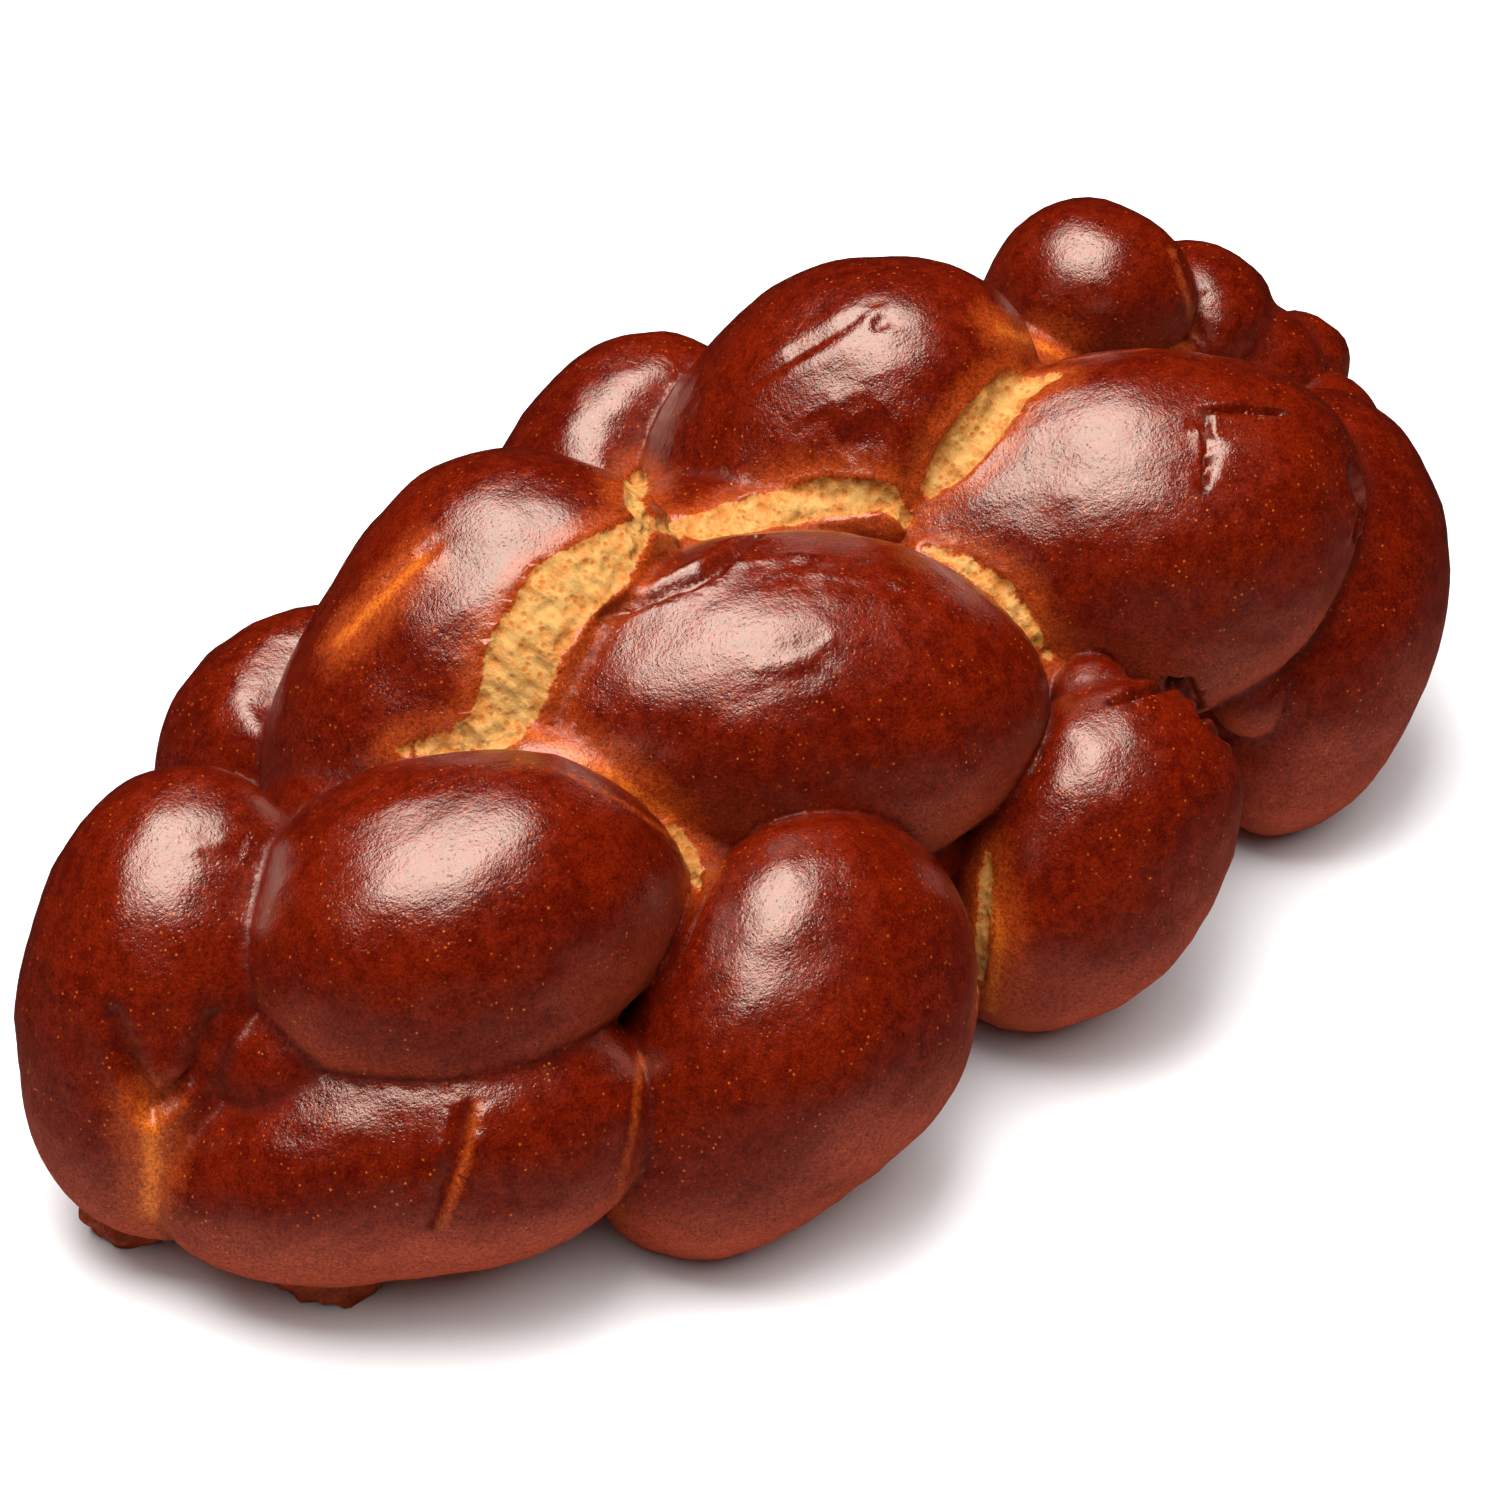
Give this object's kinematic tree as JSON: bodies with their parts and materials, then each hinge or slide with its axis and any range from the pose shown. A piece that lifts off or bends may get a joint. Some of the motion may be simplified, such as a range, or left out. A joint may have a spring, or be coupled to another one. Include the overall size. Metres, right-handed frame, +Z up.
{
  "type": "braided loaf",
  "caption": "Braided egg bread loaf, one solid of bulging crossed strands, flat underneath to stand on a table.",
  "frame": {"origin": "on the flat base, under the middle of the loaf's box", "axes": "+X along the loaf towards its narrow far end, +Y towards its back, +Z up"},
  "size_m": [0.3043, 0.1732, 0.1002],
  "materials": {
    "crust": "glossy egg-washed crust, dark red brown, with torn crumb of pale gold"
  },
  "bodies": {
    "root": {"loaf": "crust"}
  },
  "joints": []
}
